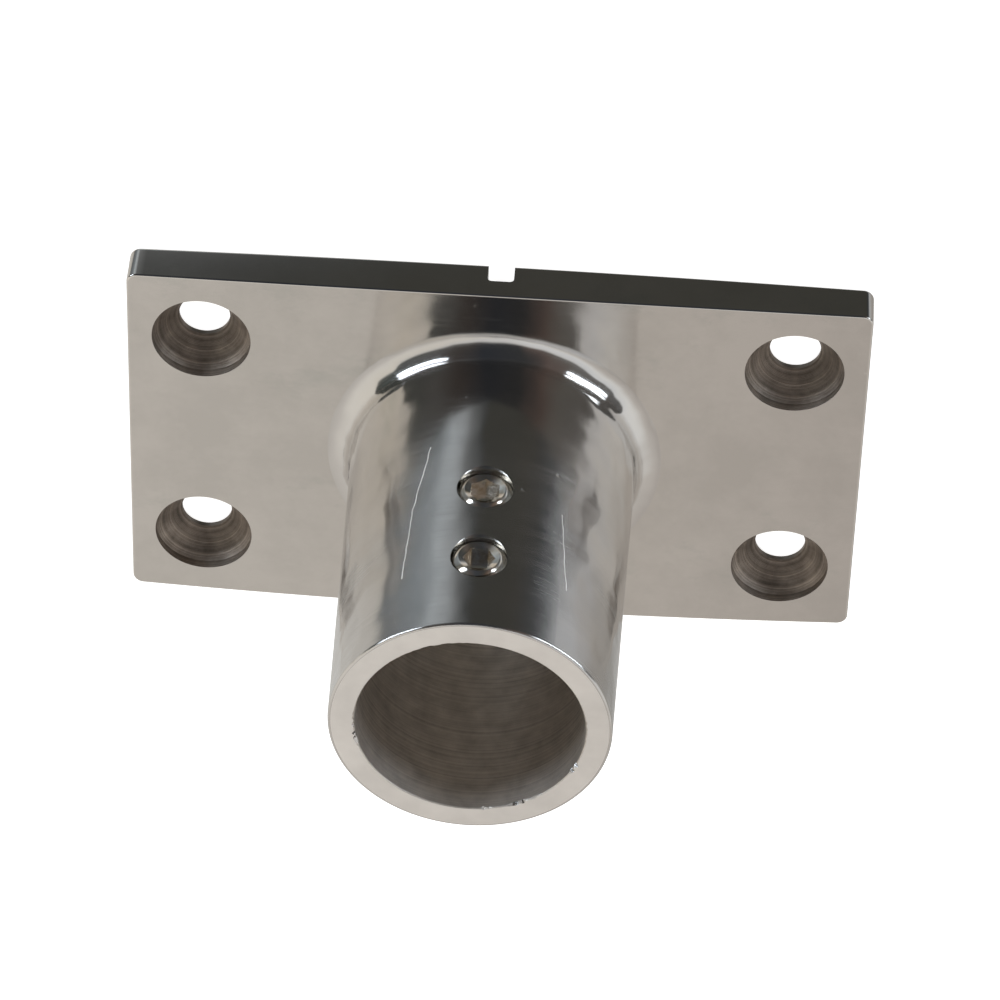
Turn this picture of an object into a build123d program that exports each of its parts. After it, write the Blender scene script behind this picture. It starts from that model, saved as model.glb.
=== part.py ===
"""Rectangular stanchion base: a one-piece stainless casting and its two set screws.

The plate lies on the deck, its mounting face on the XY plane. The socket stands on it along +Z,
and the two set screws enter the socket from -Y, one above the other. All sizes are millimetres.
"""

import os
from math import radians, tan

from build123d import *

# Socket
tube_diameter = 25.4
tube_clearance = 0.15
mouth_wall = 2.95
draft_angle = 1.0
overall_height = 50.0
root_fillet = 2.7
mouth_rounding = 0.35
bore_chamfer = 0.12

# Plate
plate_length = 85.0
plate_end_width = 48.3
side_bow = 0.45
plate_end_thickness = 5.0
crown_height = 0.6
corner_radius = 1.2
top_edge_rounding = 0.25
bottom_edge_rounding = 0.7

# Tube seat and drain
seat_height = 4.5
seat_ledge_width = 3.35
groove_width = 3.0
groove_depth = 3.0
groove_rounding = 0.5

# Deck screw holes
hole_to_end = 8.5
hole_to_side = 8.95
hole_radius = 2.95
hole_land = 0.95
countersink_radius = 5.7
countersink_angle = 82.0
underside_chamfer = 0.35

# Set screws
set_screw_diameter = 6.35
thread_clearance = 0.05
upper_screw_from_mouth = 10.7
set_screw_spacing = 11.0
screw_tip_clearance = 0.05
screw_recess = 0.07
screw_end_chamfer = 0.75
screw_hole_chamfer = 0.2
hex_across_flats = 3.175
hex_depth_share = 0.55
cup_radius = 1.6
cup_floor_radius = 0.3
cup_depth = 0.5

# Worked out from the sizes above
bore_radius = tube_diameter / 2 + tube_clearance
mouth_radius = bore_radius + mouth_wall
drain_radius = bore_radius - seat_ledge_width
crown_top = plate_end_thickness + crown_height
hole_spacing_x = plate_length - 2 * hole_to_end
hole_spacing_y = plate_end_width - 2 * hole_to_side
cone_height = (countersink_radius - hole_radius) / tan(radians(countersink_angle / 2))
lip_floor = hole_land + cone_height
screw_hole_radius = set_screw_diameter / 2
set_screw_radius = screw_hole_radius - thread_clearance
upper_screw_height = overall_height - upper_screw_from_mouth
lower_screw_height = upper_screw_height - set_screw_spacing
cut_margin = 5.0


def socket_radius(height):
    """The socket's outside radius at a height above the mounting face, with its casting draft."""
    return mouth_radius + (overall_height - height) * tan(radians(draft_angle))


set_screw_length = (
    socket_radius(upper_screw_height) - bore_radius - screw_tip_clearance - screw_recess
)
hex_depth = hex_depth_share * set_screw_length

# One casting: the crowned plate, its outline, the drafted socket and every hole in them
half_length = plate_length / 2
half_end_width = plate_end_width / 2
with BuildPart() as base_casting:
    with BuildSketch(Plane.XZ):
        with BuildLine():
            Polyline(
                (-half_length, plate_end_thickness),
                (-half_length, 0),
                (half_length, 0),
                (half_length, plate_end_thickness),
            )
            ThreePointArc(
                (half_length, plate_end_thickness),
                (0, crown_top),
                (-half_length, plate_end_thickness),
            )
        make_face()
    extrude(amount=half_end_width + side_bow + cut_margin, both=True)

    with BuildSketch(Plane.XY):
        with BuildLine():
            for side in (1, -1):
                Line(
                    (side * half_length, -half_end_width),
                    (side * half_length, half_end_width),
                )
                ThreePointArc(
                    (-half_length, side * half_end_width),
                    (0, side * (half_end_width + side_bow)),
                    (half_length, side * half_end_width),
                )
        make_face()
    extrude(amount=crown_top + cut_margin, mode=Mode.INTERSECT)
    fillet(base_casting.edges().filter_by(Axis.Z), corner_radius)
    plate_top_face = base_casting.faces().sort_by(Axis.Z)[-1]
    fillet(plate_top_face.edges(), top_edge_rounding)
    fillet(base_casting.faces().sort_by(Axis.Z)[0].edges(), bottom_edge_rounding)

    with BuildSketch(Plane.XZ):
        Polygon(
            (0, seat_height),
            (socket_radius(seat_height), seat_height),
            (mouth_radius, overall_height),
            (0, overall_height),
            align=None,
        )
    revolve(axis=Axis.Z)
    root_edges = base_casting.edges().filter_by(
        lambda edge: edge.bounding_box().min.Z > plate_end_thickness
        and edge.bounding_box().max.Z < crown_top + root_fillet
        and edge.bounding_box().size.X > bore_radius
        and edge.bounding_box().size.X < 2 * socket_radius(0) + root_fillet
    )
    fillet(root_edges, root_fillet)
    mouth_edge = base_casting.edges().group_by(Axis.Z)[-1]
    fillet(mouth_edge, mouth_rounding)

    with BuildSketch(Plane.XY.offset(seat_height)):
        Circle(bore_radius)
    extrude(amount=overall_height, mode=Mode.SUBTRACT)
    bore_edge = base_casting.edges().group_by(Axis.Z)[-1].sort_by(Edge.length)[0]
    chamfer(bore_edge, bore_chamfer)
    with BuildSketch(Plane.XY):
        Circle(drain_radius)
    extrude(amount=seat_height, mode=Mode.SUBTRACT)

    # The drain groove crosses the whole mounting face and passes under the socket
    with BuildSketch(Plane.XZ) as groove_section:
        Rectangle(groove_width, 2 * groove_depth)
        roof_corners = groove_section.vertices().group_by(Axis.Y)[-1]
        fillet(roof_corners, groove_rounding)
    extrude(amount=plate_end_width, both=True, mode=Mode.SUBTRACT)

    # Deck screw holes: a straight lip, a cone, a short land and a chamfer on the mounting face
    with Locations((0, 0, lip_floor)):
        with GridLocations(hole_spacing_x, hole_spacing_y, 2, 2):
            CounterSinkHole(
                hole_radius,
                countersink_radius,
                counter_sink_angle=countersink_angle,
            )
    with BuildSketch(Plane.XY.offset(lip_floor)):
        with GridLocations(hole_spacing_x, hole_spacing_y, 2, 2):
            Circle(countersink_radius)
    extrude(amount=crown_top, mode=Mode.SUBTRACT)
    underside_rims = base_casting.edges(Select.ALL).filter_by(GeomType.CIRCLE).filter_by(
        lambda edge: abs(edge.radius - hole_radius) < 1e-6 and abs(edge.arc_center.Z) < 1e-6
    )
    chamfer(underside_rims, underside_chamfer)

    # Tapped holes for the set screws, each with a chamfered mouth
    for height in (upper_screw_height, lower_screw_height):
        wall_y = -socket_radius(height)
        with BuildSketch(Plane.XZ):
            with Locations((0, height)):
                Circle(screw_hole_radius)
        extrude(amount=socket_radius(0), mode=Mode.SUBTRACT)
        with BuildSketch(Plane.XZ.offset(-wall_y - screw_hole_chamfer)):
            with Locations((0, height)):
                Circle(screw_hole_radius)
        extrude(amount=2 * screw_hole_chamfer, taper=-45, mode=Mode.SUBTRACT)
base_casting.part.label = "base_casting"


def make_set_screw(height, label, hex_turn):
    """A hexagon socket set screw, in place in the tapped hole at that height.

    It sits with its cup point just clear of the bore, so that a tube slides past it.
    """
    outer_end = bore_radius + screw_tip_clearance + set_screw_length
    screw_plane = Plane(origin=(0, -outer_end, height), x_dir=(1, 0, 0), z_dir=(0, 1, 0))
    point_plane = screw_plane.offset(set_screw_length)
    with BuildPart() as set_screw:
        with BuildSketch(screw_plane):
            Circle(set_screw_radius)
        extrude(amount=set_screw_length)
        chamfer(set_screw.edges().filter_by(GeomType.CIRCLE), screw_end_chamfer)
        with BuildSketch(screw_plane):
            RegularPolygon(
                hex_across_flats / 2, 6, major_radius=False, rotation=hex_turn
            )
        extrude(amount=hex_depth, mode=Mode.SUBTRACT)
        with Locations(point_plane.offset(-cup_depth / 2)):
            Cone(cup_floor_radius, cup_radius, cup_depth, mode=Mode.SUBTRACT)
    set_screw.part.label = label
    return set_screw.part


upper_set_screw = make_set_screw(upper_screw_height, "set_screw_upper", 0)
lower_set_screw = make_set_screw(lower_screw_height, "set_screw_lower", 30)

os.makedirs("parts", exist_ok=True)
for piece in (base_casting.part, upper_set_screw, lower_set_screw):
    export_step(piece, f"parts/{piece.label}.step")
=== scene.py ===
"""Studio scene of a polished stainless stanchion base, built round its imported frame.

The casting and its two set screws are modelled with bmesh, in metres, where the frame has them.
"""

import logging
import math
from dataclasses import dataclass, field
from enum import Enum
from typing import Iterable

import bmesh
import bpy
from mathutils import Matrix, Vector, noise

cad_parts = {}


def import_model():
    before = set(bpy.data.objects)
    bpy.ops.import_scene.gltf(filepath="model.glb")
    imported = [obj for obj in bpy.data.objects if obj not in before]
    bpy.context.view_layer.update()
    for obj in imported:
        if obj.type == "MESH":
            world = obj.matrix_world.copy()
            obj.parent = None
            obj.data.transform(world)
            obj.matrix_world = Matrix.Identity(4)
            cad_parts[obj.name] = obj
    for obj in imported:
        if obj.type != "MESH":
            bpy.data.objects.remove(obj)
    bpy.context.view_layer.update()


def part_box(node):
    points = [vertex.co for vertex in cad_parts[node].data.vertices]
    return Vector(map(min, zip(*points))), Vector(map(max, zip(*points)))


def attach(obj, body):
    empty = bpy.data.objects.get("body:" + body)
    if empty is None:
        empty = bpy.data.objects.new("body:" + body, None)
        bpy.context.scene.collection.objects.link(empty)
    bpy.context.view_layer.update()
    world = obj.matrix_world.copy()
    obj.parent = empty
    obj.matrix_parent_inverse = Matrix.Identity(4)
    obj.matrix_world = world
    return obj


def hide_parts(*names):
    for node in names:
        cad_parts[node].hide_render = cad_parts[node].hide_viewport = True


MM = 0.001
FULL_TURN = 2 * math.pi
WELD = 0.002 * MM
LOG = logging.getLogger("stanchion_base")

Profile = list[tuple[float, float]]
RoomStops = tuple[tuple[float, tuple[float, float, float]], ...]

# The tent of pale cloth, by bearing in degrees from the set screws' side, positive towards +X
LOW_TENT: RoomStops = (
    (-180, (0.66, 0.66, 0.65)),
    (-135, (0.36, 0.35, 0.33)),
    (-112, (0.41, 0.39, 0.36)),
    (-84, (0.48, 0.475, 0.47)),
    (-69, (0.58, 0.60, 0.62)),
    (-60, (0.24, 0.255, 0.27)),
    (-51, (0.045, 0.05, 0.055)),
    (-30, (0.058, 0.057, 0.050)),
    (4, (0.058, 0.058, 0.052)),
    (8, (0.07, 0.073, 0.073)),
    (17, (0.19, 0.20, 0.205)),
    (25, (0.40, 0.43, 0.45)),
    (35, (0.50, 0.55, 0.58)),
    (47, (0.25, 0.28, 0.30)),
    (60, (0.19, 0.21, 0.225)),
    (80, (0.15, 0.16, 0.165)),
    (86, (0.56, 0.55, 0.51)),
    (96, (0.62, 0.60, 0.56)),
    (130, (0.70, 0.69, 0.66)),
    (180, (0.66, 0.66, 0.65)),
)
HIGH_TENT: RoomStops = (
    (-180, (0.585, 0.555, 0.515)),
    (-174, (0.54, 0.505, 0.47)),
    (-140, (0.66, 0.63, 0.59)),
    (-110, (0.90, 0.90, 0.88)),
    (-85, (0.84, 0.86, 0.88)),
    (-40, (0.80, 0.80, 0.79)),
    (40, (0.80, 0.80, 0.79)),
    (88, (0.88, 0.84, 0.76)),
    (115, (0.88, 0.85, 0.79)),
    (145, (0.70, 0.67, 0.63)),
    (172, (0.635, 0.61, 0.57)),
    (180, (0.585, 0.555, 0.515)),
)
# What is seen through the tent's open front
FRONT: RoomStops = (
    (-100, (0.10, 0.10, 0.10)),
    (-75, (0.16, 0.155, 0.15)),
    (-50, (0.17, 0.165, 0.155)),
    (-34, (0.13, 0.10, 0.09)),
    (-20, (0.045, 0.046, 0.048)),
    (8, (0.036, 0.040, 0.048)),
    (30, (0.070, 0.062, 0.058)),
    (50, (0.11, 0.11, 0.108)),
    (75, (0.08, 0.09, 0.085)),
    (100, (0.10, 0.10, 0.09)),
)
# The opening's edge: bearing and elevation in degrees
OPENING: tuple[tuple[float, float], ...] = (
    (-99, -90),
    (-96, 5),
    (-90, 33),
    (-76, 46),
    (-64, 56),
    (-45, 66),
    (-20, 71),
    (25, 71),
    (45, 66),
    (62, 56),
    (72, 46),
    (84, 28),
    (91, 5),
    (94, -90),
)

# Height of the bright windows in the room, as the sine of the elevation
WINDOW_RISE = (0.05, 0.20)


@dataclass(frozen=True)
class Window:
    """A bright window of the room, between two bearings in degrees."""

    left: float
    right: float
    glow: tuple[float, float, float, float]


WINDOWS = (
    Window(-74, -43, (8.5, 9.4, 10.3, 1)),
    Window(37, 70, (8.5, 9.5, 10.6, 1)),
)


class Finish(Enum):
    """Where each finish of the casting is worn, by its place among the mesh's materials."""

    POLISHED = 0
    SOCKET = 1
    MOUTH = 2
    BORE = 3
    COUNTERSINK = 4
    UNDERSIDE = 5
    TAPPED = 6


class Hexagon(Enum):
    """How a set screw's hexagon is turned, as the angle from a corner that points up."""

    CORNER_UP = 0.0
    FLAT_ACROSS = math.radians(30)


# ------------ Small tools for meshes ------------


def arc(cx: float, cz: float, radius: float, start: float, end: float, steps: int) -> Profile:
    """Points along an arc in a profile's plane.

    Args:
        cx: distance of the arc's centre from the axis.
        cz: height of the arc's centre.
        radius: the arc's radius.
        start: first angle in degrees, from the outward direction towards up.
        end: last angle in degrees.
        steps: number of chords.

    Returns:
        The points, ends included.
    """
    angles = (math.radians(start + (end - start) * i / steps) for i in range(steps + 1))
    return [(cx + radius * math.cos(a), cz + radius * math.sin(a)) for a in angles]


def turned(bm: bmesh.types.BMesh, profile: Profile, steps: int, centre: Vector) -> list:
    """Turns a profile once round a vertical axis.

    Args:
        bm: the mesh that takes the shape.
        profile: distances from the axis and heights, in order along the section.
        steps: number of divisions of the turn.
        centre: a point on the axis.

    Returns:
        The new faces.
    """
    before = set(bm.faces)
    verts = [bm.verts.new((centre.x + r, centre.y, z)) for r, z in profile]
    edges = [bm.edges.new(pair) for pair in zip(verts, verts[1:])]
    bmesh.ops.spin(
        bm,
        geom=verts + edges,
        cent=centre,
        axis=(0, 0, 1),
        dvec=(0, 0, 0),
        angle=FULL_TURN,
        steps=steps,
        use_merge=True,
        use_duplicate=False,
    )
    return [f for f in bm.faces if f not in before]


def turned_solid(profile: Profile, steps: int) -> bmesh.types.BMesh:
    """Turns a profile that starts and ends on the axis into a closed solid round the Z axis."""
    bm = bmesh.new()
    turned(bm, profile, steps, Vector((0, 0, 0)))
    bmesh.ops.remove_doubles(bm, verts=bm.verts, dist=WELD)
    bmesh.ops.recalc_face_normals(bm, faces=bm.faces)
    return bm


def ring_edges(bm: bmesh.types.BMesh, height: float) -> list:
    """Open edges that lie at one height, which are the rims a flat skin is to meet.

    Args:
        bm: the mesh.
        height: the height of the rims.

    Returns:
        The open edges there.
    """
    return [
        e
        for e in bm.edges
        if len(e.link_faces) < 2 and all(abs(v.co.z - height) < WELD for v in e.verts)
    ]


def new_object(name: str, bm: bmesh.types.BMesh) -> bpy.types.Object:
    """Makes a mesh object at the origin from a bmesh, which it frees.

    Args:
        name: the object's name.
        bm: the finished bmesh.

    Returns:
        The object, linked to the scene.
    """
    mesh = bpy.data.meshes.new(name)
    bm.to_mesh(mesh)
    bm.free()
    made = bpy.data.objects.new(name, mesh)
    bpy.context.scene.collection.objects.link(made)
    return made


def apply_modifiers(target: bpy.types.Object) -> None:
    """Puts an object's evaluated shape in place of its mesh and clears its modifiers."""
    graph = bpy.context.evaluated_depsgraph_get()
    shaped = bpy.data.meshes.new_from_object(target.evaluated_get(graph), depsgraph=graph)
    old = target.data
    target.modifiers.clear()
    target.data = shaped
    bpy.data.meshes.remove(old)


def cut(target: bpy.types.Object, tool: bpy.types.Object, operation: str = "DIFFERENCE") -> None:
    """Cuts one closed shape by another, and throws the tool away.

    Args:
        target: the shape that is kept.
        tool: the cutting shape.
        operation: DIFFERENCE to remove the tool, INTERSECT to keep what lies inside it.
    """
    step = target.modifiers.new("cut", "BOOLEAN")
    step.operation = operation
    step.solver = "EXACT"
    step.object = tool
    apply_modifiers(target)
    bpy.data.objects.remove(tool)


def smooth_with_creases(target: bpy.types.Object, crease: float) -> None:
    """Shades a mesh smooth and keeps every edge sharper than the crease angle.

    Args:
        target: the mesh object.
        crease: the angle in degrees past which an edge stays sharp.
    """
    bm = bmesh.new()
    bm.from_mesh(target.data)
    bmesh.ops.remove_doubles(bm, verts=bm.verts, dist=WELD / 10)
    bmesh.ops.dissolve_degenerate(bm, dist=WELD / 20, edges=bm.edges)
    limit = math.radians(crease)
    for face in bm.faces:
        face.smooth = True
    for edge in bm.edges:
        edge.smooth = len(edge.link_faces) == 2 and edge.calc_face_angle(0) < limit
    bm.to_mesh(target.data)
    bm.free()


# ------------ The casting ------------


@dataclass
class BaseCasting:
    """The one-piece casting: a crowned plate, a drafted socket and the holes in them."""

    length: float = 85.0 * MM
    end_width: float = 48.3 * MM
    side_bow: float = 0.45 * MM
    end_thickness: float = 5.0 * MM
    crown: float = 0.6 * MM
    corner_radius: float = 1.2 * MM
    top_rounding: float = 0.25 * MM
    bottom_rounding: float = 0.7 * MM
    height: float = 50.0 * MM
    bore_radius: float = 12.85 * MM
    mouth_wall: float = 2.95 * MM
    draft: float = math.radians(1.0)
    root_fillet: float = 2.7 * MM
    root_flare: float = 0.18 * MM
    flare_top: float = 14.5 * MM
    mouth_rounding: float = 0.35 * MM
    bore_chamfer: float = 0.12 * MM
    seat_height: float = 4.5 * MM
    drain_radius: float = 9.5 * MM
    groove_width: float = 3.0 * MM
    groove_depth: float = 3.0 * MM
    groove_rounding: float = 0.5 * MM
    hole_spacing: tuple[float, float] = (68.0 * MM, 30.4 * MM)
    hole_radius: float = 2.95 * MM
    hole_land: float = 0.95 * MM
    underside_chamfer: float = 0.35 * MM
    countersink_radius: float = 5.7 * MM
    countersink_angle: float = math.radians(82.0)
    screw_hole_radius: float = 3.175 * MM
    screw_hole_chamfer: float = 0.2 * MM
    screw_heights: tuple[float, float] = (39.3 * MM, 28.3 * MM)
    nicks: tuple[tuple[float, float, float], ...] = (
        (-170, 4, 0.34 * MM),
        (-150, 12, 0.24 * MM),
        (-116, 5, 0.42 * MM),
        (-90, 16, 0.12 * MM),
        (97, 15, 0.26 * MM),
        (20, 30, 0.08 * MM),
    )
    chatter: float = 0.018 * MM
    chatter_rings: int = 14
    crown_slices: int = 40
    turn_steps: int = 360
    hole_steps: int = 96

    @property
    def mouth_radius(self) -> float:
        """Outside radius of the socket at its mouth."""
        return self.bore_radius + self.mouth_wall

    def socket_radius(self, z: float) -> float:
        """Outside radius of the socket at a height, with its draft."""
        return self.mouth_radius + (self.height - z) * math.tan(self.draft)

    def flare_at(self, z: float) -> float:
        """How far the buffed wall eases out of its straight draft towards the root."""
        below = max(self.flare_top - z, 0) / (self.flare_top - self.end_thickness)
        return self.root_flare * below**2

    def crown_at(self, x: float) -> float:
        """How far the crowned face rises over its ends at a distance from the middle."""
        return self.crown * (1 - (2 * x / self.length) ** 2)

    @property
    def foot_radius(self) -> float:
        """Radius of the ring where the root fillet runs out on the plate."""
        lean = math.tan(self.draft)
        rise = self.root_fillet * (1 - math.sin(self.draft)) / math.cos(self.draft)
        return self.socket_radius(self.end_thickness) - self.root_fillet * lean + rise + self.root_flare

    def outline(self) -> bmesh.types.BMesh:
        """Makes the plate as a closed slab with bowed sides, round corners and soft edges.

        Returns:
            The slab, with its flat top and bottom faces taken off and their rims left open.
        """
        bm = bmesh.new()
        half = Vector((self.length / 2, self.end_width / 2))
        corners = [bm.verts.new((sx * half.x, sy * half.y, 0)) for sx, sy in
                   ((-1, -1), (1, -1), (1, 1), (-1, 1))]
        sides = [bm.edges.new((corners[i], corners[(i + 1) % 4])) for i in range(4)]
        bmesh.ops.subdivide_edges(bm, edges=[sides[0], sides[2]], cuts=41)
        for v in bm.verts:
            bow = self.side_bow * (1 - (v.co.x / half.x) ** 2)
            v.co.y += math.copysign(bow, v.co.y)
        base = bmesh.ops.contextual_create(bm, geom=bm.edges[:])["faces"]
        raised = bmesh.ops.extrude_face_region(bm, geom=base)["geom"]
        top = [g for g in raised if isinstance(g, bmesh.types.BMVert)]
        bmesh.ops.translate(bm, verts=top, vec=(0, 0, self.end_thickness))
        bmesh.ops.recalc_face_normals(bm, faces=bm.faces)
        posts = [
            e for e in bm.edges
            if abs(e.verts[0].co.z - e.verts[1].co.z) > self.end_thickness / 2
            and abs(abs(e.verts[0].co.x) - half.x) < WELD
        ]
        self.soften(bm, posts, self.corner_radius, 8)
        for height, radius, steps in (
            (self.end_thickness, self.top_rounding, 4),
            (0.0, self.bottom_rounding, 6),
        ):
            rim = [e for e in bm.edges if all(abs(v.co.z - height) < WELD for v in e.verts)]
            self.soften(bm, rim, radius, steps)
        flats = [f for f in bm.faces if len(f.verts) > 20]
        bmesh.ops.delete(bm, geom=flats, context="FACES_ONLY")
        return bm

    @staticmethod
    def soften(bm: bmesh.types.BMesh, edges: list, radius: float, steps: int) -> None:
        """Rounds edges to a radius.

        Args:
            bm: the mesh.
            edges: the edges to round.
            radius: the rounding's radius.
            steps: number of divisions across it.
        """
        bmesh.ops.bevel(
            bm,
            geom=edges,
            offset=radius,
            offset_type="OFFSET",
            segments=steps,
            profile=0.5,
            affect="EDGES",
            material=-1,
            clamp_overlap=False,
        )

    def socket_profile(self) -> Profile:
        """Section of the socket from its foot on the plate, over the mouth and down the bore."""
        lean = self.draft
        fillet_x = self.foot_radius - self.root_flare
        fillet_z = self.end_thickness + self.root_fillet
        foot = arc(fillet_x, fillet_z, self.root_fillet, 270, 180 + math.degrees(lean), 28)
        rounding = self.mouth_rounding
        lip_z = self.height - rounding
        lip_x = self.socket_radius(lip_z) - rounding / math.cos(lean)
        lip = arc(lip_x, lip_z, rounding, math.degrees(lean), 90, 8)
        wall_steps = 30
        low, high = foot[-1], lip[0]
        wall = [
            (low[0] + (high[0] - low[0]) * i / wall_steps, low[1] + (high[1] - low[1]) * i / wall_steps)
            for i in range(1, wall_steps)
        ]
        bore = self.bore_radius
        inside = [
            (bore + self.bore_chamfer, self.height),
            (bore, self.height - self.bore_chamfer),
            (bore, self.height - 5 * self.bore_chamfer),
            (bore, self.height - 8 * self.bore_chamfer),
            (bore, self.seat_height),
            (self.drain_radius, self.seat_height),
            (self.drain_radius, 0.0),
        ]
        outside = [(r + self.flare_at(z), z) for r, z in foot + wall + lip]
        return outside + inside

    def hole_profile(self) -> Profile:
        """Section of a deck screw hole, from its rim down to its chamfer on the mounting face."""
        cone = (self.countersink_radius - self.hole_radius) / math.tan(self.countersink_angle / 2)
        across = self.countersink_radius - self.hole_radius
        steps = [
            (self.countersink_radius - across * i / self.chatter_rings
             + (self.chatter if i % 2 else 0), self.hole_land + cone * (1 - i / self.chatter_rings))
            for i in range(1, self.chatter_rings)
        ]
        return [
            (self.countersink_radius, self.end_thickness),
            (self.countersink_radius, self.hole_land + cone),
            *steps,
            (self.hole_radius, self.hole_land),
            (self.hole_radius, self.underside_chamfer),
            (self.hole_radius + self.underside_chamfer, 0.0),
        ]

    def hole_centres(self) -> list[Vector]:
        """Centres of the four deck screw holes."""
        dx, dy = (s / 2 for s in self.hole_spacing)
        return [Vector((x, y, 0)) for x in (-dx, dx) for y in (-dy, dy)]

    def body(self) -> bpy.types.Object:
        """Makes the casting before its groove and its tapped holes are cut.

        Returns:
            A closed mesh object.
        """
        bm = self.outline()
        turned(bm, self.socket_profile(), self.turn_steps, Vector((0, 0, 0)))
        for centre in self.hole_centres():
            turned(bm, self.hole_profile(), self.hole_steps, centre)
        bmesh.ops.remove_doubles(bm, verts=bm.verts, dist=WELD / 4)
        for height in (self.end_thickness, 0.0):
            bmesh.ops.triangle_fill(bm, use_beauty=True, edges=ring_edges(bm, height))
        self.slice_top(bm)
        self.raise_crown(bm)
        self.nick_bore(bm)
        bmesh.ops.recalc_face_normals(bm, faces=bm.faces)
        return new_object("base_casting_polished", bm)

    def slice_top(self, bm: bmesh.types.BMesh) -> None:
        """Divides the plate's flat top across its length, so that it can take the crown."""
        for i in range(1, self.crown_slices):
            x = self.length * (i / self.crown_slices - 0.5)
            flat = [
                f for f in bm.faces
                if all(abs(v.co.z - self.end_thickness) < WELD for v in f.verts)
            ]
            parts = set(flat)
            parts.update(e for f in flat for e in f.edges)
            parts.update(v for f in flat for v in f.verts)
            bmesh.ops.bisect_plane(
                bm, geom=list(parts), dist=WELD / 2, plane_co=(x, 0, 0), plane_no=(1, 0, 0)
            )

    def raise_crown(self, bm: bmesh.types.BMesh) -> None:
        """Lifts the plate's top face, its rounded rim and the fillet to the crowned surface."""
        rim_floor = self.end_thickness - self.top_rounding - WELD
        fillet_top = self.end_thickness + self.root_fillet
        foot = self.foot_radius + WELD
        for v in bm.verts:
            reach = math.hypot(v.co.x, v.co.y)
            if reach < self.mouth_radius or v.co.z > fillet_top:
                continue
            if v.co.z > rim_floor:
                x = v.co.x if reach > foot else v.co.x * self.foot_radius / reach
                v.co.z += self.crown_at(x)

    def nick_bore(self, bm: bmesh.types.BMesh) -> None:
        """Leaves nicks and small burrs on the bore's edge, at the bearings where it is torn."""
        edge = self.bore_radius + self.bore_chamfer
        for v in bm.verts:
            reach = math.hypot(v.co.x, v.co.y)
            if v.co.z < self.height - self.bore_chamfer - WELD or reach > edge + WELD:
                continue
            bearing = math.degrees(math.atan2(v.co.x, -v.co.y))
            tear = 0.0
            for centre, half, depth in self.nicks:
                away = abs((bearing - centre + 180) % 360 - 180)
                if away < half:
                    fade = math.cos(away / half * math.pi / 2)
                    rough = noise.noise(Vector((bearing * 0.45, centre, 0.5)))
                    tear += depth * fade * (0.35 + 1.3 * rough)
            if reach > self.bore_radius + WELD:
                v.co.xy *= (reach + tear) / reach
            else:
                v.co.z -= max(tear, 0) * 1.3

    def groove_tool(self) -> bpy.types.Object:
        """Makes the cutter for the drain groove, a bar with two rounded upper edges."""
        bm = bmesh.new()
        reach = self.end_width
        size = Matrix.Diagonal((self.groove_width, 2 * reach, 2 * self.groove_depth, 1))
        bmesh.ops.create_cube(bm, size=1, matrix=size)
        ridges = [
            e for e in bm.edges
            if all(v.co.z > 0 for v in e.verts) and abs(e.verts[0].co.x - e.verts[1].co.x) < WELD
        ]
        self.soften(bm, ridges, self.groove_rounding, 8)
        return new_object("groove_tool", bm)

    def tapped_hole_tool(self, height: float) -> bpy.types.Object:
        """Makes the cutter for a set screw's hole, with a chamfer where it leaves the wall.

        Args:
            height: the hole's height above the mounting face.

        Returns:
            The cutter, along -Y.
        """
        wall = self.socket_radius(height)
        radius, chamfer = self.screw_hole_radius, self.screw_hole_chamfer
        profile = [
            (0.0, self.bore_radius / 2),
            (radius, self.bore_radius / 2),
            (radius, wall - chamfer),
            (radius + 4 * chamfer, wall + 3 * chamfer),
            (0.0, wall + 3 * chamfer),
        ]
        bm = turned_solid(profile, self.hole_steps)
        bmesh.ops.rotate(bm, verts=bm.verts, matrix=Matrix.Rotation(math.pi / 2, 3, "X"))
        bmesh.ops.translate(bm, verts=bm.verts, vec=(0, 0, height))
        return new_object("tapped_hole_tool", bm)

    def build(self) -> bpy.types.Object:
        """Makes the whole casting.

        Returns:
            The casting, with a finish number on every face and the polish's true normals.
        """
        casting = self.body()
        cut(casting, self.groove_tool())
        for height in self.screw_heights:
            cut(casting, self.tapped_hole_tool(height))
        smooth_with_creases(casting, 32)
        self.mark_finishes(casting)
        self.true_normals(casting)
        return casting

    def finish_at(self, centre: Vector, normal: Vector) -> Finish:
        """Names the finish that a face of the casting wears.

        Args:
            centre: the face's middle.
            normal: the face's normal.

        Returns:
            The finish.
        """
        reach = math.hypot(centre.x, centre.y)
        outward = (normal.x * centre.x + normal.y * centre.y) / max(reach, WELD)
        if centre.z < WELD and normal.z < -0.9:
            return Finish.UNDERSIDE
        if centre.z > self.height - WELD and normal.z > 0.9:
            return Finish.MOUTH
        for h in self.screw_heights:
            across = math.hypot(centre.x, centre.z - h)
            if centre.y < 0 and across < self.screw_hole_radius + self.screw_hole_chamfer * 2:
                sideways = (normal.x * centre.x + normal.z * (centre.z - h)) / across
                if sideways < -0.5 and reach > self.bore_radius + 0.05 * MM:
                    return Finish.TAPPED
        if reach < self.bore_radius + self.bore_chamfer and outward < 0.3:
            return Finish.BORE
        for hole in self.hole_centres():
            away = math.hypot(centre.x - hole.x, centre.y - hole.y)
            if away < self.countersink_radius + WELD and centre.z < self.end_thickness + self.crown:
                inward = normal.x * (hole.x - centre.x) + normal.y * (hole.y - centre.y)
                if inward > 0.5 * away:
                    return Finish.COUNTERSINK
        if abs(centre.x) < self.groove_width / 2 + WELD and centre.z < self.groove_depth + WELD \
                and abs(normal.y) < 0.9 and reach > self.drain_radius:
            return Finish.UNDERSIDE
        if reach < self.foot_radius and centre.z > self.end_thickness:
            return Finish.SOCKET
        return Finish.POLISHED

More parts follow.
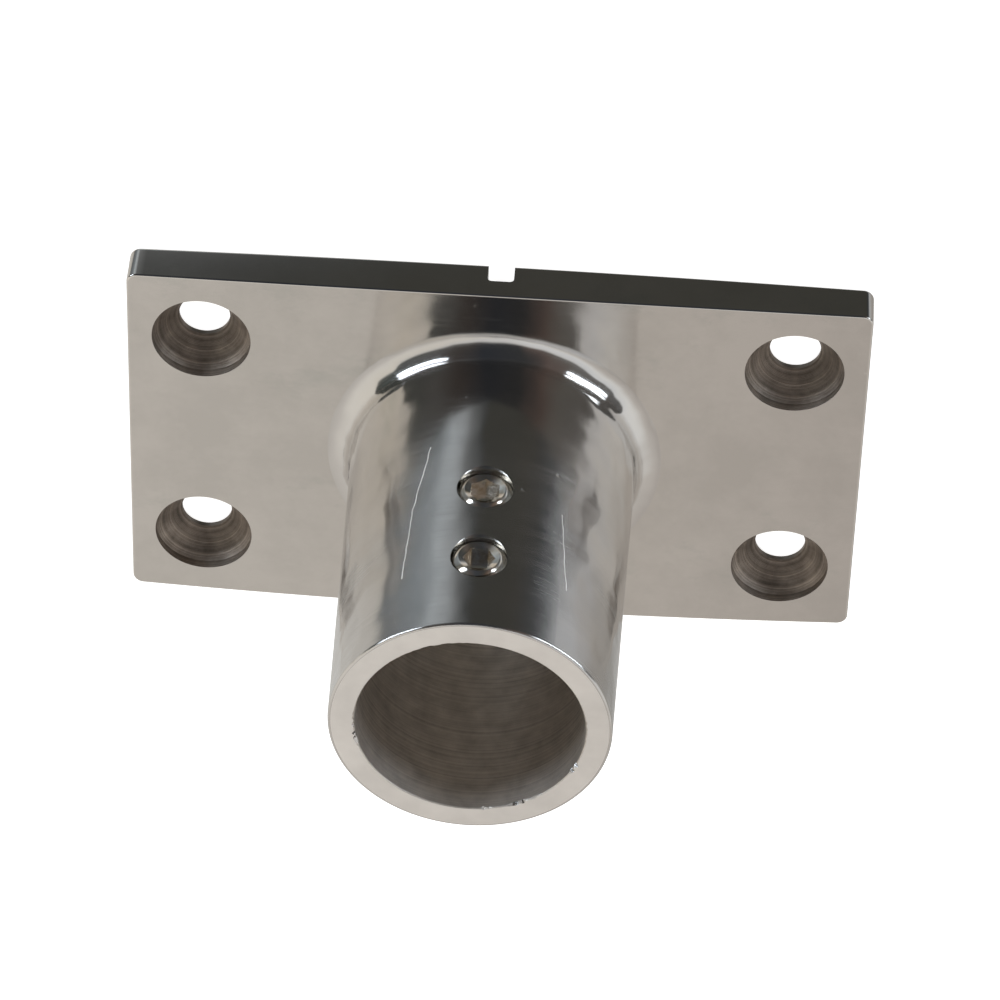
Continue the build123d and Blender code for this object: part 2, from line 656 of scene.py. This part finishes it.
    def mark_finishes(self, casting: bpy.types.Object) -> None:
        """Writes each face's finish into its material number."""
        for face in casting.data.polygons:
            face.material_index = self.finish_at(face.center, face.normal).value

    def true_normals(self, casting: bpy.types.Object) -> None:
        """Gives the drafted wall and the crowned face the normals of their true surfaces.

        The hole and groove cuts leave slivers there, whose own normals would break up a mirror
        finish.
        """
        mesh = casting.data
        normals = [Vector(n.vector) for n in mesh.corner_normals]
        fillet_top = self.end_thickness + self.crown + self.root_fillet
        lip = self.height - self.mouth_rounding
        for face in mesh.polygons:
            centre = face.center
            reach = math.hypot(centre.x, centre.y)
            on_wall = (
                face.material_index == Finish.SOCKET.value
                and fillet_top < centre.z < lip
                and abs(reach - self.socket_radius(centre.z) - self.flare_at(centre.z)) < 0.1 * MM
            )
            on_face = (
                face.material_index == Finish.POLISHED.value
                and face.normal.z > 0.995
                and centre.z > self.end_thickness - WELD
            )
            for corner in face.loop_indices:
                at = mesh.vertices[mesh.loops[corner].vertex_index].co
                if on_wall:
                    side = Vector((at.x, at.y, 0)).normalized()
                    ease = (self.flare_at(at.z - WELD) - self.flare_at(at.z + WELD)) / (2 * WELD)
                    normals[corner] = (side + Vector((0, 0, math.tan(self.draft) + ease))).normalized()
                elif on_face:
                    slope = 8 * self.crown * at.x / self.length**2
                    normals[corner] = Vector((slope, 0, 1)).normalized()
        mesh.normals_split_custom_set(normals)


# ------------ The set screws ------------


@dataclass
class SetScrew:
    """A headless set screw with a hexagon socket, a rolled thread and a cup point."""

    name: str
    z: float
    hexagon: Hexagon
    outer_end: float
    inner_end: float
    radius: float = 3.125 * MM
    thread_depth: float = 0.62 * MM
    pitch: float = 1.27 * MM
    end_chamfer: float = 0.75 * MM
    across_flats: float = 3.175 * MM
    socket_depth: float = 1.66 * MM
    entry_radius: float = 2.3 * MM
    entry_slope: float = 0.45
    cup_radius: float = 1.6 * MM
    cup_depth: float = 0.5 * MM
    steps: int = 72

    @property
    def length(self) -> float:
        """The screw's length."""
        return self.outer_end - self.inner_end

    def thread(self) -> bpy.types.Object:
        """Makes the threaded rod, longer than the screw, by sweeping one thread along its helix.

        Returns:
            A closed rod along Z with its thread.
        """
        root = self.radius - self.thread_depth
        crest = 0.14 * self.pitch
        valley = 0.22 * self.pitch
        flank = (self.pitch - crest - valley) / 2
        marks = [(root, 0), (root, valley), (self.radius, valley + flank),
                 (self.radius, valley + flank + crest), (root, self.pitch)]
        turns = math.ceil(self.length / self.pitch) + 3
        bm = bmesh.new()
        start = -1.5 * self.pitch
        verts = [bm.verts.new((r, 0, start + z)) for r, z in marks]
        edges = [bm.edges.new(pair) for pair in zip(verts, verts[1:])]
        bmesh.ops.spin(
            bm,
            geom=verts + edges,
            cent=(0, 0, 0),
            axis=(0, 0, 1),
            dvec=(0, 0, self.pitch / self.steps),
            angle=FULL_TURN * turns,
            steps=self.steps * turns,
            use_merge=False,
            use_duplicate=False,
        )
        bmesh.ops.remove_doubles(bm, verts=bm.verts, dist=WELD)
        for z, up in ((-0.5 * self.pitch, -1), (self.length + 0.5 * self.pitch, 1)):
            geom = bm.verts[:] + bm.edges[:] + bm.faces[:]
            bmesh.ops.bisect_plane(
                bm, geom=geom, dist=WELD / 10, plane_co=(0, 0, z), plane_no=(0, 0, up), clear_outer=True
            )
            rim = [e for e in bm.edges if len(e.link_faces) == 1
                   and all(abs(v.co.z - z) < WELD for v in e.verts)]
            bmesh.ops.contextual_create(bm, geom=rim)
        bmesh.ops.recalc_face_normals(bm, faces=bm.faces)
        return new_object(self.name + "_turned", bm)

    def blank(self) -> bpy.types.Object:
        """Makes the blank that the thread is cut back to: a cylinder with chamfered ends."""
        cut_back = self.radius - self.end_chamfer
        spare = 0.1 * MM
        profile = [
            (0.0, 0.0),
            (cut_back, 0.0),
            (self.radius + spare, self.end_chamfer + spare),
            (self.radius + spare, self.length - self.end_chamfer - spare),
            (cut_back + 0.04 * MM, self.length - 0.05 * MM),
            (cut_back - 0.08 * MM, self.length),
            (0.0, self.length),
        ]
        return new_object("blank", turned_solid(profile, self.steps))

    def hexagon_tool(self) -> bpy.types.Object:
        """Makes the cutter for the hexagon socket."""
        corner = self.across_flats / math.sqrt(3)
        bm = bmesh.new()
        made = bmesh.ops.create_circle(bm, cap_ends=True, segments=6, radius=corner)["verts"]
        face = made[0].link_faces[:]
        bmesh.ops.translate(bm, verts=made, vec=(0, 0, self.length + MM))
        low = bmesh.ops.extrude_face_region(bm, geom=face)["geom"]
        floor_verts = [g for g in low if isinstance(g, bmesh.types.BMVert)]
        bmesh.ops.translate(bm, verts=floor_verts, vec=(0, 0, -MM - self.socket_depth))
        turn = Matrix.Rotation(self.hexagon.value, 3, "Z")
        bmesh.ops.rotate(bm, verts=bm.verts, matrix=turn)
        bmesh.ops.recalc_face_normals(bm, faces=bm.faces)
        return new_object("hexagon_tool", bm)

    def cone_tool(self, z: float, radius: float, depth: float, up: float) -> bpy.types.Object:
        """Makes a shallow cone cutter that enters one end of the screw.

        Args:
            z: height of the end.
            radius: the cone's radius there.
            depth: how deep its point goes.
            up: 1 if the cutter stands out upwards, -1 if downwards.

        Returns:
            The cutter.
        """
        slope = radius / depth
        spare = 0.3 * MM
        profile = [(0.0, z - up * depth), (radius + slope * spare, z + up * spare), (0.0, z + up * spare)]
        return new_object("cone_tool", turned_solid(profile, self.steps))

    def build(self) -> bpy.types.Object:
        """Makes the screw in its hole.

        Returns:
            The screw, its socket facing -Y.
        """
        screw = self.thread()
        cut(screw, self.blank(), "INTERSECT")
        cut(screw, self.hexagon_tool())
        entry_depth = self.entry_radius * self.entry_slope
        cut(screw, self.cone_tool(self.length, self.entry_radius, entry_depth, 1))
        cut(screw, self.cone_tool(0.0, self.cup_radius, self.cup_depth, -1))
        smooth_with_creases(screw, 28)
        place = Matrix.Translation((0, -self.inner_end, self.z)) @ Matrix.Rotation(math.pi / 2, 4, "X")
        screw.data.transform(place)
        return screw


# ------------ Finishes ------------


@dataclass
class Shader:
    """A material's node tree, with short calls for the nodes that the finishes share."""

    name: str
    material: bpy.types.Material = field(init=False)

    def __post_init__(self) -> None:
        """Makes the empty material with its Principled shader."""
        self.material = bpy.data.materials.new(self.name)
        self.material.use_nodes = True
        self.tree = self.material.node_tree
        self.surface = self.tree.nodes["Principled BSDF"]
        self.place = self.tree.nodes.new("ShaderNodeTexCoord").outputs["Object"]

    def node(self, kind: str, inputs: dict | None = None, **settings: object) -> bpy.types.Node:
        """Adds a node.

        Args:
            kind: the node's type.
            inputs: values or links for its input sockets, by name or number.
            **settings: the node's own settings.

        Returns:
            The node.
        """
        made = self.tree.nodes.new(kind)
        for key, value in settings.items():
            setattr(made, key, value)
        for key, value in (inputs or {}).items():
            self.feed(made.inputs[key], value)
        return made

    def feed(self, socket: bpy.types.NodeSocket, value: object) -> None:
        """Sets a socket to a value, or links it to another node's output."""
        if isinstance(value, bpy.types.NodeSocket):
            self.tree.links.new(value, socket)
        else:
            socket.default_value = value

    def math(self, operation: str, *terms: object) -> bpy.types.NodeSocket:
        """Adds a math node and returns its result."""
        made = self.node("ShaderNodeMath", dict(enumerate(terms)), operation=operation)
        return made.outputs[0]

    def mapped(self, scale: Iterable[float], turn: Iterable[float] = (0, 0, 0)) -> bpy.types.NodeSocket:
        """Returns the object coordinates turned and scaled."""
        made = self.node(
            "ShaderNodeMapping", {"Vector": self.place, "Scale": tuple(scale), "Rotation": tuple(turn)}
        )
        return made.outputs["Vector"]

    def grain(self, where: bpy.types.NodeSocket, scale: float, detail: float = 3.0,
              rough: float = 0.5) -> bpy.types.NodeSocket:
        """Returns a noise value at a scale in cycles to the metre."""
        made = self.node(
            "ShaderNodeTexNoise",
            {"Vector": where, "Scale": scale, "Detail": detail, "Roughness": rough},
        )
        return made.outputs["Fac"]

    def ramp(self, value: bpy.types.NodeSocket, low: float, high: float, to_low: float,
             to_high: float) -> bpy.types.NodeSocket:
        """Maps a value from one range to another, clamped."""
        made = self.node(
            "ShaderNodeMapRange",
            {"Value": value, "From Min": low, "From Max": high, "To Min": to_low, "To Max": to_high},
        )
        return made.outputs["Result"]

    def band(self, value: bpy.types.NodeSocket, low: float, high: float,
             soft: float) -> bpy.types.NodeSocket:
        """Returns 1 where a value lies between two limits, with soft ends."""
        rise = self.ramp(value, low - soft, low + soft, 0, 1)
        fall = self.ramp(value, high - soft, high + soft, 1, 0)
        return self.math("MULTIPLY", rise, fall)

    def blend(self, amount: object, first: object, second: object) -> bpy.types.NodeSocket:
        """Mixes two colours."""
        made = self.node("ShaderNodeMix", data_type="RGBA")
        for key, value in ((0, amount), (6, first), (7, second)):
            self.feed(made.inputs[key], value)
        return made.outputs[2]

    def bumps(self, *layers: tuple[bpy.types.NodeSocket, float, float]) -> None:
        """Stacks bumps, each given as height, strength and distance in metres."""
        below = None
        for height, strength, distance in layers:
            made = self.node(
                "ShaderNodeBump", {"Height": height, "Strength": strength, "Distance": distance}
            )
            if below is not None:
                self.feed(made.inputs["Normal"], below)
            below = made.outputs["Normal"]
        self.feed(self.surface.inputs["Normal"], below)

    def pits(self, scale: float, size: float) -> bpy.types.NodeSocket:
        """Returns a height with a small round pit in a few of its cells."""
        cells = self.node("ShaderNodeTexVoronoi", {"Vector": self.place, "Scale": scale})
        rare = self.node("ShaderNodeSeparateXYZ", {0: cells.outputs["Color"]}).outputs[0]
        bowl = self.ramp(cells.outputs["Distance"], size * 0.4, size, 0, 1)
        return self.math("MAXIMUM", bowl, self.ramp(rare, 0.25, 0.26, 0, 1))

    def turned_lines(self, strength: float) -> None:
        """Draws reflections out across lines that run round the vertical axis."""
        self.surface.inputs["Anisotropic"].default_value = strength
        self.surface.inputs["Anisotropic Rotation"].default_value = 0.25
        round_it = self.node("ShaderNodeTangent", direction_type="RADIAL", axis="Z")
        self.feed(self.surface.inputs["Tangent"], round_it.outputs[0])

    def metal(self, color: object, roughness: object, metallic: float = 1.0) -> None:
        """Sets the shader to a metal of that colour and roughness."""
        self.feed(self.surface.inputs["Base Color"], color)
        self.feed(self.surface.inputs["Roughness"], roughness)
        self.surface.inputs["Metallic"].default_value = metallic


class RoomShader(Shader):
    """The same short calls for the world's node tree."""

    def __post_init__(self) -> None:
        """Makes the world with its Background shader."""
        self.material = bpy.data.worlds.new(self.name)
        self.material.use_nodes = True
        self.tree = self.material.node_tree
        self.surface = self.tree.nodes["Background"]
        self.place = self.tree.nodes.new("ShaderNodeTexCoord").outputs["Generated"]


@dataclass(frozen=True)
class PolishedPlate:
    """Hand-polished cast stainless: a clear mirror with faint clouds, stains and tiny pits."""

    tint: tuple[float, float, float] = (0.69, 0.66, 0.63)
    cloud_tint: tuple[float, float, float] = (0.63, 0.605, 0.575)
    stain_tint: tuple[float, float, float] = (0.52, 0.53, 0.50)

    def build(self) -> bpy.types.Material:
        """Makes the material."""
        s = Shader("polished_plate")
        clouds = s.grain(s.place, 95.0, 5.0, 0.62)
        stains = s.grain(s.mapped((1, 1.7, 1), (0, 0, 0.7)), 60.0, 6.0, 0.7)
        color = s.blend(s.ramp(clouds, 0.38, 0.62, 0, 1), (*self.tint, 1), (*self.cloud_tint, 1))
        color = s.blend(s.ramp(stains, 0.58, 0.74, 0, 0.5), color, (*self.stain_tint, 1))
        buff = s.grain(s.mapped((150, 1900, 150), (0, 0, 0.3)), 1.0, 4.0, 0.6)
        rough = s.math("ADD", s.ramp(buff, 0.4, 0.8, 0.075, 0.13), s.ramp(stains, 0.5, 0.8, 0, 0.09))
        s.metal(color, rough)
        waves = s.grain(s.place, 55.0, 2.0)
        peel = s.grain(s.place, 900.0, 2.0)
        s.bumps(
            (waves, 0.10, 0.0006),
            (buff, 0.04, 0.00002),
            (peel, 0.05, 0.00002),
            (s.pits(330.0, 0.06), 0.5, 0.00005),
        )
        return s.material


@dataclass(frozen=True)
class PolishedSocket:
    """The socket's polish: a mirror over fine lines that the buffing wheel left round it.

    Scratches are given by x and z at both ends, and dents by place and radius, in millimetres.
    """

    tint: tuple[float, float, float] = (0.66, 0.64, 0.62)
    worn_tint: tuple[float, float, float] = (0.61, 0.595, 0.58)
    anisotropy: float = 0.92
    scratches: tuple[tuple[float, float, float, float], ...] = (
        (6.55, 20.9, 7.9, 30.6),
        (7.9, 30.6, 8.4, 41.2),
        (-8.75, 29.4, -9.8, 40.5),
    )
    dents: tuple[tuple[float, float, float, float], ...] = (
        (-4.25, -15.62, 27.78, 0.34),
        (-7.99, -14.16, 23.56, 0.3),
        (-1.9, -16.1, 17.2, 0.22),
        (3.1, -16.0, 13.6, 0.2),
    )

    def scratch(self, s: Shader, x: bpy.types.NodeSocket, y: bpy.types.NodeSocket,
                z: bpy.types.NodeSocket) -> bpy.types.NodeSocket:
        """Marks the hairline scratches on the set screws' side.

        Args:
            s: the shader.
            x: place along the plate's length.
            y: place across it.
            z: height.

        Returns:
            1 on a scratch, 0 off it.
        """
        wander = s.math("MULTIPLY_ADD", s.grain(s.place, 500.0, 3.0), 0.0004, -0.0002)
        side = s.ramp(y, -0.001, 0.0, 1, 0)
        marked = None
        for x0, z0, x1, z1 in self.scratches:
            lean = (x1 - x0) / (z1 - z0)
            straight = s.math("MULTIPLY_ADD", z, -lean, (z0 * lean - x0) * MM)
            off = s.math("ABSOLUTE", s.math("ADD", s.math("ADD", x, straight), wander))
            line = s.math("MULTIPLY", s.ramp(off, 0.02 * MM, 0.07 * MM, 1, 0),
                          s.band(z, z0 * MM, z1 * MM, 0.1 * MM))
            marked = line if marked is None else s.math("MAXIMUM", marked, line)
        return s.math("MULTIPLY", marked, side)

    def build(self) -> bpy.types.Material:
        """Makes the material."""
        s = Shader("polished_socket")
        x, y, z = s.node("ShaderNodeSeparateXYZ", {0: s.place}).outputs
        reach = s.math("SQRT", s.math("MULTIPLY_ADD", x, x, s.math("MULTIPLY", y, y)))
        up = s.math("SUBTRACT", z, reach)
        strip = s.node("ShaderNodeCombineXYZ", {0: s.math("MULTIPLY", x, 0.006),
                                                1: s.math("MULTIPLY", y, 0.006), 2: up}).outputs[0]
        fine = s.grain(strip, 17000.0, 2.0, 0.6)
        broad = s.grain(strip, 3300.0, 3.0, 0.6)
        patches = s.grain(s.mapped((70, 70, 160)), 1.0, 3.0)
        marked = self.scratch(s, x, y, z)
        color = s.blend(s.ramp(patches, 0.35, 0.65, 0, 1), (*self.tint, 1), (*self.worn_tint, 1))
        color = s.blend(s.math("MULTIPLY", marked, 0.8), color, (0.93, 0.92, 0.9, 1))
        lines = s.math("MULTIPLY_ADD", broad, 0.10, s.math("MULTIPLY", fine, 0.90))
        haze = s.ramp(lines, 0.38, 0.62, 0.15, 0.27)
        haze = s.math("MULTIPLY", haze, s.ramp(patches, 0.3, 0.7, 0.85, 1.05))
        root = s.ramp(z, 8.0 * MM, 8.8 * MM, 0.55, 0)
        wall = s.ramp(z, 10.0 * MM, 24.0 * MM, 0.25, 1)
        haze = s.math("MULTIPLY", haze, s.math("MAXIMUM", root, wall))
        s.metal(color, s.math("MAXIMUM", haze, s.math("MULTIPLY", marked, 0.5)))
        s.feed(s.surface.inputs["Metallic"], s.math("MULTIPLY_ADD", marked, -0.6, 1.0))
        s.turned_lines(self.anisotropy)
        swell = s.grain(s.mapped((1, 1, 0.75)), 105.0, 2.2, 0.45)
        sides = s.ramp(s.math("ABSOLUTE", x), 9.0 * MM, 13.0 * MM, 0.8, 2.4)
        swell = s.math("MULTIPLY", s.math("SUBTRACT", swell, 0.5), sides)
        layers = [(swell, 0.85, 0.0006), (s.math("SUBTRACT", 1.0, marked), 0.4, 0.00004)]
        for *at, radius in self.dents:
            away = s.node("ShaderNodeVectorMath", {0: s.place, 1: [c * MM for c in at]},
                          operation="DISTANCE").outputs["Value"]
            layers.append((s.ramp(away, 0, radius * MM, 0, 1), 0.5, 0.00012))
        s.bumps(*layers)
        return s.material


@dataclass(frozen=True)
class MachinedSteel:
    """Steel as the tool left it, dull and dark, with the tool's fine rings."""

    name: str
    tint: tuple[float, float, float]
    dark: float
    roughness: float
    ring_scale: float
    ring_depth: float
    centre: tuple[float, float] | None = None

    def build(self) -> bpy.types.Material:
        """Makes the material."""
        s = Shader(self.name)
        x, y, z = s.node("ShaderNodeSeparateXYZ", {0: s.place}).outputs
        along = z
        if self.centre:
            out_x = s.math("SUBTRACT", s.math("ABSOLUTE", x), self.centre[0])
            out_y = s.math("SUBTRACT", s.math("ABSOLUTE", y), self.centre[1])
            squares = s.math("ADD", s.math("MULTIPLY", out_x, out_x), s.math("MULTIPLY", out_y, out_y))
            along = s.math("ADD", s.math("SQRT", squares), z)
        rings = s.grain(s.node("ShaderNodeCombineXYZ", {0: along}).outputs[0], self.ring_scale, 4.0, 0.75)
        broken = s.grain(s.place, 420.0, 4.0, 0.6)
        shade = s.math("MULTIPLY_ADD", rings, 0.65, s.math("MULTIPLY", broken, 0.35))
        low = tuple(c * self.dark for c in self.tint)
        color = s.blend(s.ramp(shade, 0.36, 0.62, 0, 1), (*low, 1), (*self.tint, 1))
        s.metal(color, s.ramp(shade, 0.3, 0.7, self.roughness + 0.08, self.roughness - 0.05))
        s.bumps((rings, self.ring_depth, 0.00012), (broken, 0.15, 0.00004))
        return s.material


@dataclass(frozen=True)
class SatinSteel:
    """Steel dressed on a belt, a soft even grey with fine straight lines."""

    name: str
    tint: tuple[float, float, float] = (0.94, 0.915, 0.89)
    roughness: float = 0.36

    def build(self) -> bpy.types.Material:
        """Makes the material."""
        s = Shader(self.name)
        fine = s.grain(s.mapped((300, 4200, 300), (0, 0, 0.5)), 1.0, 4.0)
        clouds = s.grain(s.place, 210.0, 3.0)
        dull = tuple(c * 0.9 for c in self.tint)
        color = s.blend(s.ramp(clouds, 0.35, 0.65, 0, 1), (*self.tint, 1), (*dull, 1))
        s.metal(color, s.ramp(fine, 0.3, 0.7, self.roughness - 0.05, self.roughness + 0.07))
        s.bumps((fine, 0.12, 0.00002), (clouds, 0.05, 0.0001))
        return s.material


@dataclass(frozen=True)
class BrightScrewSteel:
    """A small bright set screw: lightly tumbled, with rounded glints."""

    tint: tuple[float, float, float] = (0.95, 0.92, 0.87)

    def build(self) -> bpy.types.Material:
        """Makes the material."""
        s = Shader("bright_screw_steel")
        tumbled = s.grain(s.place, 2600.0, 3.0)
        clouds = s.grain(s.place, 700.0, 2.0)
        warm = tuple(c * f for c, f in zip(self.tint, (0.85, 0.78, 0.68)))
        color = s.blend(s.ramp(clouds, 0.4, 0.65, 0, 1), (*self.tint, 1), (*warm, 1))
        s.metal(color, s.ramp(tumbled, 0.3, 0.7, 0.10, 0.17))
        s.bumps((tumbled, 0.05, 0.000005))
        return s.material


# ------------ The studio ------------


@dataclass
class Studio:
    """A pale floor, the room that the base mirrors, and the camera."""

    camera_at: tuple[float, float, float] = (-0.01907, -0.45999, 0.50687)
    camera_right: tuple[float, float, float] = (-0.99791, -0.02501, -0.05952)
    camera_up: tuple[float, float, float] = (0.05885, -0.73160, -0.67919)
    camera_back: tuple[float, float, float] = (-0.02656, -0.68128, 0.73154)
    lens: float = 211.14
    sensor: float = 36.0

    def camera(self) -> None:
        """Places the camera at the product's viewing angle, with the plate's drain side up."""
        data = bpy.data.cameras.new("camera")
        data.lens = self.lens
        data.sensor_width = self.sensor
        data.sensor_fit = "HORIZONTAL"
        data.clip_start = 0.01
        data.clip_end = 20
        made = bpy.data.objects.new("camera", data)
        bpy.context.scene.collection.objects.link(made)
        axes = Matrix((self.camera_right, self.camera_up, self.camera_back)).transposed()
        made.matrix_world = Matrix.Translation(self.camera_at) @ axes.to_4x4()
        bpy.context.scene.camera = made

    def floor(self) -> None:
        """Adds the pale floor that the base stands on."""
        bm = bmesh.new()
        bmesh.ops.create_grid(bm, x_segments=1, y_segments=1, size=3)
        bmesh.ops.translate(bm, verts=bm.verts, vec=(0, 0, -0.0002))
        made = new_object("floor", bm)
        s = Shader("pale_floor")
        s.surface.inputs["Base Color"].default_value = (0.93, 0.93, 0.93, 1)
        s.surface.inputs["Roughness"].default_value = 0.9
        s.surface.inputs["Emission Color"].default_value = (1, 1, 1, 1)
        s.surface.inputs["Emission Strength"].default_value = 0.9
        made.data.materials.append(s.material)
        made.visible_glossy = False

    @staticmethod
    def round_the_room(s: "RoomShader", bearing: bpy.types.NodeSocket,
                       stops: RoomStops) -> bpy.types.NodeSocket:
        """Colours the room by bearing.

        Args:
            s: the room's node tree.
            bearing: 0 to 1 once round, with 0.5 towards the set screws' side.
            stops: bearings in degrees with their colours.

        Returns:
            The colour.
        """
        made = s.node("ShaderNodeValToRGB", {"Fac": bearing})
        ramp = made.color_ramp
        while len(ramp.elements) > 1:
            ramp.elements.remove(ramp.elements[-1])
        for i, (degrees, color) in enumerate(stops):
            at = 0.5 + degrees / 360
            stop = ramp.elements[0] if i == 0 else ramp.elements.new(at)
            stop.position = at
            stop.color = (*color, 1)
        return made.outputs["Color"]

    def world(self) -> None:
        """Sets the room: a pale tent, its dark open front, and a soft window on each side of it."""
        s = RoomShader("room")
        x, y, z = s.node("ShaderNodeSeparateXYZ", {0: s.place}).outputs
        turn = s.math("ARCTAN2", x, s.math("MULTIPLY", y, -1.0))
        bearing = s.math("MULTIPLY_ADD", turn, 1 / FULL_TURN, 0.5)
        low = self.round_the_room(s, bearing, LOW_TENT)
        high = self.round_the_room(s, bearing, HIGH_TENT)
        tent = s.blend(s.ramp(z, -0.35, 0.1, 0, 1), low, high)
        edge = tuple(
            (degrees, ((math.sin(math.radians(rise)) + 1) / 2,) * 3) for degrees, rise in OPENING
        )
        sill = self.round_the_room(s, bearing, edge)
        above = s.math("SUBTRACT", s.math("MULTIPLY_ADD", z, 0.5, 0.5), sill)
        front = self.round_the_room(s, bearing, FRONT)
        front = s.blend(s.ramp(z, -0.5, -0.1, 0, 1), low, front)
        room = s.blend(s.ramp(above, -0.012, 0.008, 0, 1), front, tent)
        for window in WINDOWS:
            across = s.band(bearing, 0.5 + window.left / 360, 0.5 + window.right / 360, 0.006)
            upright = s.band(z, *WINDOW_RISE, 0.015)
            room = s.blend(s.math("MULTIPLY", across, upright), room, window.glow)
        seen = s.node("ShaderNodeLightPath").outputs["Is Camera Ray"]
        s.feed(s.surface.inputs["Color"], s.blend(seen, room, (1, 1, 1, 1)))
        bpy.context.scene.world = s.material

    def build(self) -> None:
        """Sets up the whole studio."""
        self.camera()
        self.floor()
        self.world()
        bpy.context.scene.view_settings.view_transform = "Standard"




def dress(piece: bpy.types.Object, finishes: list[bpy.types.Material]) -> None:
    """Gives a piece its materials, in the order of its faces' numbers.

    Args:
        piece: the piece.
        finishes: its materials. Emptying the old list clears the faces' numbers, so these are kept.
    """
    numbers = [face.material_index for face in piece.data.polygons]
    piece.data.materials.clear()
    for finish in finishes:
        piece.data.materials.append(finish)
    if len(finishes) > 1:
        piece.data.polygons.foreach_set("material_index", numbers)


def main() -> None:
    """Builds the base round its frame and sets up the studio."""
    logging.basicConfig(level=logging.INFO, format="%(name)s: %(message)s")
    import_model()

    design = BaseCasting()
    casting = design.build()
    hole = tuple(spacing / 2 for spacing in design.hole_spacing)
    dress(casting, [
        PolishedPlate().build(),
        PolishedSocket().build(),
        SatinSteel("satin_mouth").build(),
        MachinedSteel("bored_steel", (0.84, 0.78, 0.72), 0.6, 0.52, 2400.0, 0.5).build(),
        MachinedSteel("countersunk_steel", (0.57, 0.49, 0.425), 0.3, 0.54, 1300.0, 0.9, hole).build(),
        SatinSteel("underside_steel", (0.6, 0.59, 0.57), 0.5).build(),
        MachinedSteel("tapped_steel", (0.66, 0.64, 0.61), 0.6, 0.22, 2500.0, 0.3).build(),
    ])
    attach(casting, "casting")
    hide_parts("base_casting")
    LOG.info("casting: %d faces", len(casting.data.polygons))

    bright_steel = BrightScrewSteel().build()
    for label, z, hexagon in (
        ("set_screw_upper", design.screw_heights[0], Hexagon.FLAT_ACROSS),
        ("set_screw_lower", design.screw_heights[1], Hexagon.CORNER_UP),
    ):
        low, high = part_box(label)
        made = SetScrew(label + "_turned", z, hexagon, -low.y, -high.y)
        screw = made.build()
        dress(screw, [bright_steel])
        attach(screw, label.replace("set_screw_", "") + "_screw")
        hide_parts(label)
        LOG.info("%s: %d faces", label, len(screw.data.polygons))

    Studio().build()


if __name__ == "__main__":
    main()
